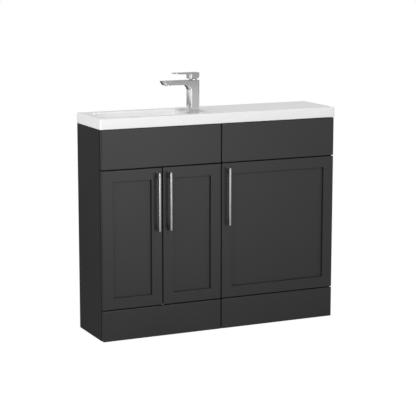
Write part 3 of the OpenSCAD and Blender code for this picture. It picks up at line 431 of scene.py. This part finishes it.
# Gel coat over polymer marble: white, smooth and hardly structured. A faint cloudiness lies under
# the coat, and its polish varies a little over a hand's width, so reflections are soft.
gel_coat, tree, place = finish("gel_coated_marble")
cloud = add(tree, "ShaderNodeTexNoise", {"Vector": place, "Scale": 9.0, "Detail": 4.0})
shade = add(tree, "ShaderNodeMix", {"Factor": cloud.outputs["Fac"], "A": linear("#E3E3E3"),
                                    "B": linear("#E9E9E9")}, data_type="RGBA")
polish = add(tree, "ShaderNodeTexNoise", {"Vector": place, "Scale": 14.0, "Detail": 3.0})
tone = add(tree, "ShaderNodeMapRange", {"Value": polish.outputs["Fac"], "To Min": 0.36, "To Max": 0.41})
wear(tree, add(tree, "ShaderNodeBsdfPrincipled", {
    "Base Color": shade.outputs["Result"], "Roughness": tone.outputs["Result"], "IOR": 1.52}))


def graded(*stops):
    """Grid lines through the stops, given as place, spacing, place, spacing, ... place."""
    parts = [np.linspace(a, b, max(2, int(round((b - a) / step)) + 1))[:-1]
             for a, step, b in zip(stops[:-1:2], stops[1::2], stops[2::2])]
    return np.append(np.concatenate(parts), stops[-1])


def inside(x, y, low, high, radius):
    """Distance inwards from the outline of a rounded rectangle, negative outside it."""
    over_x = np.abs(x - (low[0] + high[0]) / 2) - (high[0] - low[0]) / 2 + radius
    over_y = np.abs(y - (low[1] + high[1]) / 2) - (high[1] - low[1]) / 2 + radius
    out = np.hypot(np.maximum(over_x, 0), np.maximum(over_y, 0)) + np.minimum(np.maximum(over_x, over_y), 0)
    return radius - out


def lesser(a, b, blend):
    """The smaller of two depths, rounded off where they meet."""
    near = np.maximum(blend - np.abs(a - b), 0) / blend
    return np.minimum(a, b) - near ** 2 * blend / 4


# Depth in mm against distance in mm from the sunken area's outline, and down the slope to the left
WALL = np.array([(-3, 0), (-2.2, 0.12), (-1.4, 0.5), (-0.7, 1.1), (0, 2.4), (0.6, 9), (10.2, 82),
                 (12.2, 89), (15.2, 94.4), (19.2, 98), (24, 99.7), (29, 100)])
SLOPE = np.array([(-1, 9), (45, 84), (66, 118), (400, 122)])
SHELL_WALL = np.array([(0, 0), (0.8, 6), (8, 66), (10, 73), (14, 77), (20, 78)])
SHELL_SLOPE = np.array([(-1, 0), (2, 2), (40, 80), (400, 120)])

# Grid lines lie 0.6 mm apart over the bowl's walls, 0.8 mm at the slab's corners, and wider between
near_edge = SLAB_EDGE + SLAB_CORNER
gx = graded(SLAB_LOW[0] + SLAB_EDGE, 0.0008, SLAB_LOW[0] + near_edge, 0.008, -0.4675, 0.0006, -0.4445,
           0.0045, -0.168, 0.0022, -0.094, 0.005, -0.0295, 0.0006, -0.0185, 0.02,
           SLAB_HIGH[0] - near_edge, 0.0008, SLAB_HIGH[0] - SLAB_EDGE)
gy = graded(SLAB_LOW[1] + SLAB_EDGE, 0.0008, SLAB_LOW[1] + near_edge, 0.006, -0.0770, 0.0006, -0.0540,
           0.0042, 0.0835, 0.0006, 0.1070, 0.006, SLAB_HIGH[1] - near_edge, 0.0008,
           SLAB_HIGH[1] - SLAB_EDGE)
x, y = np.meshgrid(gx, gy, indexing="ij")
# Each corner square of the grid is bent to a quarter disc, so the slab's upright edges are round
core_low, core_high = SLAB_LOW + near_edge, SLAB_HIGH - near_edge
over_x = (np.minimum(x - core_low[0], 0) + np.maximum(x - core_high[0], 0)) / SLAB_CORNER
over_y = (np.minimum(y - core_low[1], 0) + np.maximum(y - core_high[1], 0)) / SLAB_CORNER
x = x - SLAB_CORNER * over_x * (1 - np.sqrt(1 - over_y ** 2 / 2))
y = y - SLAB_CORNER * over_y * (1 - np.sqrt(1 - over_x ** 2 / 2))

depth = lesser(np.interp(inside(x, y, SINK_LOW, SINK_HIGH, SINK_CORNER) * 1000, *WALL.T),
               np.interp((SLOPE_TOP - x) * 1000, *SLOPE.T), 5.0)
# From 92 to 99 mm down, the floor also falls by 3 mm towards the waste, over 164 to 34 mm from it
from_waste = np.hypot(x - WASTE[0], y - WASTE[1]) * 1000
depth = depth + 3 * np.clip(1 - (from_waste - 34) / 130, 0, 1) * np.clip((depth - 92) / 7, 0, 1)
top = np.stack([x, y, SLAB_TOP - depth * MM], -1)
hang = lesser(np.interp(inside(x, y, SHELL_LOW, SHELL_HIGH, SINK_CORNER) * 1000, *SHELL_WALL.T),
              np.interp((SHELL_SLOPE_TOP - x) * 1000, *SHELL_SLOPE.T), 4.0)
under = np.stack([x, y, SLAB_UNDER - np.maximum(hang, 0) * MM], -1)

# The border of the grid, anticlockwise, carried out and down round the slab's edge
rows, cols = x.shape
i, j = np.arange(rows), np.arange(cols)
border = np.concatenate([i[:-1] * cols, (rows - 1) * cols + j[:-1], i[:0:-1] * cols + cols - 1, j[:0:-1]])
rim = top.reshape(-1, 3)[border]
nearest = np.clip(rim[:, :2], core_low, core_high)
outwards = (rim[:, :2] - nearest) / np.linalg.norm(rim[:, :2] - nearest, axis=1)[:, None]
sin, cos = quarter(5)
sin, cos = sin[1:], cos[1:]
slab_h = SLAB_TOP - SLAB_UNDER
edge_path = np.concatenate([np.stack([SLAB_EDGE * sin, SLAB_EDGE * (1 - cos)], 1),
                            np.stack([SLAB_EDGE * sin, slab_h - SLAB_EDGE * (1 - cos)], 1)[::-1]])
bands = np.zeros((len(edge_path), len(rim), 3))
bands[:, :, :2] = rim[None, :, :2] + outwards[None] * edge_path[:, 0, None, None]
bands[:, :, 2] = SLAB_TOP - edge_path[:, 1, None]
a, b = np.meshgrid(i[:-1], j[:-1], indexing="ij")
cell = (a * cols + b).reshape(-1, 1)
top_faces = np.concatenate([cell, cell + cols, cell + cols + 1, cell + 1], 1)
under_faces = top_faces[:, ::-1] + rows * cols
band_ids = 2 * rows * cols + np.arange(bands[..., 0].size).reshape(len(bands), -1)
ring_ids = np.concatenate([border[None], band_ids, border[None] + rows * cols])
band_faces = np.stack([ring_ids[:-1], np.roll(ring_ids, -1, 1)[:-1], np.roll(ring_ids, -1, 1)[1:],
                       ring_ids[1:]], -1).reshape(-1, 4)
worktop = solid("moulded_worktop", np.concatenate([top.reshape(-1, 3), under.reshape(-1, 3),
                                                   bands.reshape(-1, 3)]),
                np.concatenate([top_faces, under_faces, band_faces]).tolist(), gel_coat, "cabinet",
                ["basin_worktop"])
# The holes for the tap, the waste and the overflow
drilled(worktop, [peg((*TAP, 0.80), (*TAP, 0.87), TAP_HOLE_RADIUS, 48),
                  peg((*WASTE, 0.70), (*WASTE, 0.79), WASTE_HOLE_RADIUS, 48),
                  peg((WASTE[0], -0.082, OVERFLOW_Z), (WASTE[0], -0.060, OVERFLOW_Z),
                      OVERFLOW_RADIUS, 48)])

# ---- Overflow ring, waste and plug -------------------------------------------------------------
# Chromed brass and zinc: a ring pushed into the overflow, and a slotted waste whose flange is
# clamped to the bowl's floor by a nut below, with a push plug on top.

# Chrome plate: mirror bright, with the faint haze that wiping leaves.
chrome, tree, place = finish("chrome_plate")
haze = add(tree, "ShaderNodeTexNoise", {"Vector": place, "Scale": 45.0, "Detail": 5.0, "Roughness": 0.6})
tone = add(tree, "ShaderNodeMapRange", {"Value": haze.outputs["Fac"], "To Min": 0.035, "To Max": 0.10})
wear(tree, add(tree, "ShaderNodeBsdfPrincipled", {
    "Base Color": linear("#DADADA"), "Metallic": 1.0, "Roughness": tone.outputs["Result"]}))


def turned(name, profile, centre, axis, material, body, replaced, sides=96):
    """A closed (radius, height) profile turned round an axis through a point, as on a lathe."""
    profile = np.asarray(profile, float)
    turn = np.linspace(0, 2 * math.pi, sides, endpoint=False)
    flat = [k for k in range(3) if k != axis]
    ring = np.zeros((sides, len(profile), 3))
    ring[:, :, flat[0]] = profile[None, :, 0] * np.cos(turn)[:, None]
    ring[:, :, flat[1]] = profile[None, :, 0] * np.sin(turn)[:, None]
    ring[:, :, axis] = profile[None, :, 1]
    points = ring + np.array(centre)
    faces = skin_faces(sides, len(profile), closed_ends=False)
    last = (sides - 1) * len(profile) + np.arange(len(profile))
    first = np.arange(len(profile))
    faces += np.stack([last, np.roll(last, -1), np.roll(first, -1), first], 1).tolist()
    return solid(name, points, faces, material, body, replaced)


low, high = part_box("overflow_ring")
ring_face = softened([(8, -4), (9.9, -4), (9.9, 0), (14, 0), (13.2, 1.7), (10.6, 2), (8, 0.9)], 0.5)
turned("overflow_trim", ring_face[::-1] * MM, (WASTE[0], low[1] + 0.004, OVERFLOW_Z), 1, chrome, "cabinet",
       ["overflow_ring"])
dress("waste_back_nut", chrome)
dress("waste_body", chrome)
dress("waste_plug", chrome)

# Black rubber washers and seal: matt, slightly dusty.
rubber, tree, place = finish("black_rubber")
bloom = add(tree, "ShaderNodeTexNoise", {"Vector": place, "Scale": 220.0, "Detail": 4.0})
shade = add(tree, "ShaderNodeMix", {"Factor": bloom.outputs["Fac"], "A": linear("#161617"),
                                    "B": linear("#262627")}, data_type="RGBA")
wear(tree, add(tree, "ShaderNodeBsdfPrincipled", {"Base Color": shade.outputs["Result"], "Roughness": 0.75}))
dress("waste_washers", rubber)
dress("tap_base_seal", rubber)

# ---- Trap and waste pipe -----------------------------------------------------------------------
# White polypropylene mouldings, hand-tightened: the inlet nut hangs on the waste, and the outlet
# pipe leaves through the open back.

# Polypropylene: smooth, a little waxy, with a faint mould texture.
polypropylene, tree, place = finish("white_polypropylene")
skin = add(tree, "ShaderNodeTexNoise", {"Vector": place, "Scale": 700.0, "Detail": 3.0})
tone = add(tree, "ShaderNodeMapRange", {"Value": skin.outputs["Fac"], "To Min": 0.28, "To Max": 0.42})
grain = add(tree, "ShaderNodeBump", {"Height": skin.outputs["Fac"], "Strength": 0.05, "Distance": 0.0002})
wear(tree, add(tree, "ShaderNodeBsdfPrincipled", {
    "Base Color": linear("#E4E4DF"), "Roughness": tone.outputs["Result"],
    "Normal": grain.outputs["Normal"], "Subsurface Weight": 0.12, "Subsurface Scale": 0.003}))
for node in ("trap_inlet_nut", "trap_body", "trap_bottle", "trap_outlet_pipe"):
    dress(node, polypropylene)

# ---- Tap ---------------------------------------------------------------------------------------
# One brass casting with a square column and a flat spout, milled, polished and chromed, with a
# cast lever over its cartridge nut. All arrises are polished to a small round.
HALF = 20.0                          # half the depth of column, spout and lever, in mm
CHAMFER = 7.5                        # mm off the upright corners
TAP_EDGE = 0.9                       # mm
TAP_FOOT, LEVER_UNDER = 0.850, 0.984
NUT_BORE, AERATOR_BORE, LEVER_BORE = 14.1 * MM, 12.1 * MM, 18.7 * MM
REACH = 0.108                        # from the column's axis to the aerator's


def chamfered(name, outline_at, base, material, body, replaced):
    """An outline in X and Z, in mm, carried along Y. outline_at(c) gives it with its upright faces
    pulled in by c, and c grows evenly over the last part of the depth, which cuts the corners."""
    sin, cos = quarter()
    flat_y = HALF - CHAMFER
    round_y = HALF - TAP_EDGE * (1 - cos)
    ys = np.concatenate([[0.0, flat_y - 0.8, flat_y - 0.3, flat_y + 0.3, flat_y + 0.8], round_y[::-1]])
    pulls = np.array([0.02, 0.02, 0.12, 0.42, 0.82, *(round_y[::-1] - flat_y)])
    insets = np.concatenate([np.zeros(5), TAP_EDGE * (1 - sin[::-1])])
    ys, pulls, insets = np.append(ys, HALF), np.append(pulls, CHAMFER), np.append(insets, TAP_EDGE + 0.2)
    ys = np.concatenate([-ys[:0:-1], ys])
    pulls = np.concatenate([pulls[:0:-1], pulls])
    insets = np.concatenate([insets[:0:-1], insets])
    shapes = [stepped(outline_at(c), d, TAP_EDGE) for c, d in zip(pulls, insets)]
    rings = np.zeros((len(ys), len(shapes[0]), 3))
    rings[:, :, [0, 2]] = np.array(shapes)
    rings[:, :, 1] = ys[:, None]
    return solid(name, rings * MM + np.array(base), skin_faces(*rings.shape[:2]), material, body,
                 replaced)


def column_and_spout(c):
    """The tap's outline from its foot, in mm from the seal: column, top, spout, soffit, gusset.
    The cut corner of the column runs on up the gusset and dies out under the spout."""
    return np.array([(22.5 - c, 0), (22.5 - c, 128), (-137 + c, 128), (-127 + c, 112.5), (-38, 111),
                     (-33.5 + 0.4 * c, 109), (-24.5 + 0.85 * c, 98), (-22.5 + c, 92), (-22.5 + c, 0)])


def lever_shape(c):
    """The lever's outline, in mm above its underside: plate, block, and the heel's cut-back."""
    return np.array([(22.5 - c, 6), (22.5 - c, 23.5), (-86 + c, 23.5), (-88 + c, 21.7), (-71.6, 19.5),
                     (-22.5 + c, 18), (-22.5 + c, 0), (11, 0)])


tap = chamfered("mixer_body", column_and_spout, (*TAP, TAP_FOOT), chrome, "cabinet", ["tap_body"])
# The cartridge's seat from above, and the aerator's from below
drilled(tap, [peg((*TAP, 0.942), (*TAP, 0.99), NUT_BORE, 64),
              peg((TAP[0] - REACH, TAP[1], 0.955), (TAP[0] - REACH, TAP[1], 0.968), AERATOR_BORE, 48)])
lever = chamfered("mixer_lever", lever_shape, (*TAP, LEVER_UNDER), chrome, "lever", ["tap_lever"])
# The hollow over the cartridge and its nut
drilled(lever, [peg((*TAP, 0.98), (*TAP, 0.998), LEVER_BORE, 64)])
low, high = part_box("cartridge_nut")
nut = softened([(9.05, 0), (14, 0), (14, 2), (15, 2), (15, 7), (9.05, 7)], 0.4)
turned("cartridge_ring_nut", nut[::-1] * MM, (*TAP, low[2]), 2, chrome, "cabinet",
       ["cartridge_nut"])
dress("aerator", chrome)

# ---- Floor, light and camera -------------------------------------------------------------------
# A pale floor and a white surround, with soft lamps in front, at the left and above, and a low one
# that gives sheen only. The camera stands at the photograph's viewpoint.
FOOTPRINT_X, FOOTPRINT_Y = 0.490, 0.105
FLOOR_HALF = 9.0
scene = bpy.context.scene
scene.view_settings.view_transform = "Standard"

floor_mesh = bpy.data.meshes.new("studio_floor")
floor_mesh.from_pydata([(-FLOOR_HALF, -FLOOR_HALF, 0), (FLOOR_HALF, -FLOOR_HALF, 0),
                        (FLOOR_HALF, FLOOR_HALF, 0), (-FLOOR_HALF, FLOOR_HALF, 0)], [], [(0, 1, 2, 3)])
floor = bpy.data.objects.new("studio_floor", floor_mesh)
scene.collection.objects.link(floor)

# Matt paint that glows white to the camera, so that little of the unit's shadow shows, but not under the
# unit.
# In reflections it glows with painted shade and light: a painted shadow dark behind the unit, grey further
# off, and a painted pale glow at the far left.
WHITE_SHARE = 0.93
floor_paint, tree, place = finish("white_floor_paint")
mottle = add(tree, "ShaderNodeTexNoise", {"Vector": place, "Scale": 3.0, "Detail": 2.0})
shade = add(tree, "ShaderNodeMix", {"Factor": mottle.outputs["Fac"], "A": linear("#C6C6C6"),
                                    "B": linear("#CACACA")}, data_type="RGBA")
paint = add(tree, "ShaderNodeBsdfDiffuse", {"Color": shade.outputs["Result"]})
seen = add(tree, "ShaderNodeLightPath")
# Painted shadow in reflections: the floor's glow for gloss is dimmest behind the unit and grows with the
# distance from there
away = add(tree, "ShaderNodeVectorMath", {0: place, 1: (0.0, 2.5, 0.0)}, operation="DISTANCE")
mirrored = add(tree, "ShaderNodeMapRange", {"Value": away.outputs["Value"], "From Min": 0.8, "From Max": 5.6,
                                            "To Min": 0.10, "To Max": 0.64})
across = add(tree, "ShaderNodeSeparateXYZ", {"Vector": place})
# Painted reflector glow: far to the left the floor glows paler in reflections, where no lamp stands
painted_left_glow = add(tree, "ShaderNodeMapRange", {"Value": across.outputs["X"], "From Min": -3.3, "From Max": -4.5,
                                             "To Min": 0.0, "To Max": 0.42})
mirrored = add(tree, "ShaderNodeMath", {0: mirrored.outputs["Result"], 1: painted_left_glow.outputs["Result"]})
level = add(tree, "ShaderNodeMix", {0: seen.outputs["Is Glossy Ray"], 2: 1.05,
                                    3: mirrored.outputs["Value"]})
glow = add(tree, "ShaderNodeEmission", {"Color": (1, 1, 1, 1), "Strength": level.outputs[0]})
beside = add(tree, "ShaderNodeVectorMath", {0: place}, operation="ABSOLUTE")
beside = add(tree, "ShaderNodeSeparateXYZ", {"Vector": beside.outputs["Vector"]})
past_x = add(tree, "ShaderNodeMath", {0: beside.outputs["X"], 1: FOOTPRINT_X}, operation="GREATER_THAN")
past_y = add(tree, "ShaderNodeMath", {0: beside.outputs["Y"], 1: FOOTPRINT_Y}, operation="GREATER_THAN")
clear = add(tree, "ShaderNodeMath", {0: past_x.outputs["Value"], 1: past_y.outputs["Value"]},
            operation="MAXIMUM")
bright = add(tree, "ShaderNodeMath", {0: clear.outputs["Value"], 1: WHITE_SHARE}, operation="MULTIPLY")
camera_part = add(tree, "ShaderNodeMath", {0: seen.outputs["Is Camera Ray"], 1: bright.outputs["Value"]},
                  operation="MULTIPLY")
part = add(tree, "ShaderNodeMath", {0: camera_part.outputs["Value"], 1: seen.outputs["Is Glossy Ray"]})
both = add(tree, "ShaderNodeMixShader", {0: part.outputs["Value"], 1: paint.outputs["BSDF"],
                                         2: glow.outputs["Emission"]})
add(tree, "ShaderNodeOutputMaterial", {"Surface": both.outputs["Shader"]})
floor_mesh.materials.append(floor_paint)

# White to the camera and grey in reflections, with a fill light for the rest that is strongest from
# above, behind and left
world = bpy.data.worlds.new("white_surround")
scene.world = world
world.use_nodes = True
tree = world.node_tree
tree.nodes.clear()
seen = add(tree, "ShaderNodeLightPath")
towards = add(tree, "ShaderNodeTexCoord").outputs["Generated"]
height = add(tree, "ShaderNodeSeparateXYZ", {"Vector": towards})
mirrored = add(tree, "ShaderNodeMapRange", {"Value": height.outputs["Z"], "From Min": 0.02, "From Max": 0.2,
                                            "To Min": 0.45, "To Max": 0.40})
turned_away = add(tree, "ShaderNodeVectorMath", {0: towards, 1: (-0.6, 0.6, 0.5)}, operation="DOT_PRODUCT")
fill = add(tree, "ShaderNodeMapRange", {"Value": turned_away.outputs["Value"], "From Min": -1.0,
                                        "From Max": 1.0, "To Min": 0.08, "To Max": 0.88})
filled = add(tree, "ShaderNodeMix", {0: seen.outputs["Is Glossy Ray"], 2: fill.outputs["Result"],
                                     3: mirrored.outputs["Result"]})
level = add(tree, "ShaderNodeMath", {0: filled.outputs[0], 1: seen.outputs["Is Camera Ray"]},
            operation="MAXIMUM")
sky = add(tree, "ShaderNodeBackground", {"Color": (1, 1, 1, 1), "Strength": level.outputs["Value"]})
add(tree, "ShaderNodeOutputWorld", {"Surface": sky.outputs["Background"]})


def softbox(name, place, target, width, height, watts):
    """A rectangular lamp at a place, facing a target."""
    lamp = bpy.data.lights.new(name, "AREA")
    lamp.shape, lamp.size, lamp.size_y, lamp.energy = "RECTANGLE", width, height, watts
    thing = bpy.data.objects.new(name, lamp)
    scene.collection.objects.link(thing)
    thing.location = place
    thing.visible_camera = False
    aim = np.array(target, float) - np.array(place, float)
    thing.rotation_euler = (math.atan2(math.hypot(aim[0], aim[1]), -aim[2]), 0.0,
                            math.atan2(aim[1], aim[0]) - math.pi / 2)
    return thing


# The low lamp adds sheen only, and the left one isn't mirrored in the chrome
softbox("front_softbox", (0.25, -3.4, 2.30), (0.1, 0, 0.5), 1.0, 0.8, 58)
low_lamp = softbox("low_softbox", (0.65, -3.3, 0.40), (-0.35, 0, 0.45), 0.8, 0.6, 11)
low_lamp.visible_diffuse = False
left_lamp = softbox("left_softbox", (-3.2, -1.6, 0.95), (-0.1, 0, 0.65), 3.0, 1.8, 52)
left_lamp.visible_glossy = False
softbox("top_softbox", (0.0, 0.3, 3.4), (0, 0, 0.5), 1.6, 1.6, 15)

# The photograph's viewpoint, worked out from the unit's corners: the place, then the turns down and
# to the right, and the focal length in pixels of a 416-pixel frame.
VIEW_PLACE = (-2.483, -5.286, 1.517)
VIEW_DOWN, VIEW_RIGHT = math.radians(10.19), math.radians(24.84)
VIEW_FOCAL = 1492.5
VIEW_SHIFT, PHOTO_WIDTH = 7.0, 416   # pixels
SENSOR = 36.0                        # mm
camera_data = bpy.data.cameras.new("camera")
camera_data.sensor_width = SENSOR
camera_data.lens = VIEW_FOCAL * SENSOR / PHOTO_WIDTH
camera_data.shift_x = VIEW_SHIFT / PHOTO_WIDTH
camera_data.clip_end = 100.0
camera = bpy.data.objects.new("camera", camera_data)
scene.collection.objects.link(camera)
camera.location = VIEW_PLACE
camera.rotation_euler = (math.pi / 2 - VIEW_DOWN, 0.0, -VIEW_RIGHT)
scene.camera = camera
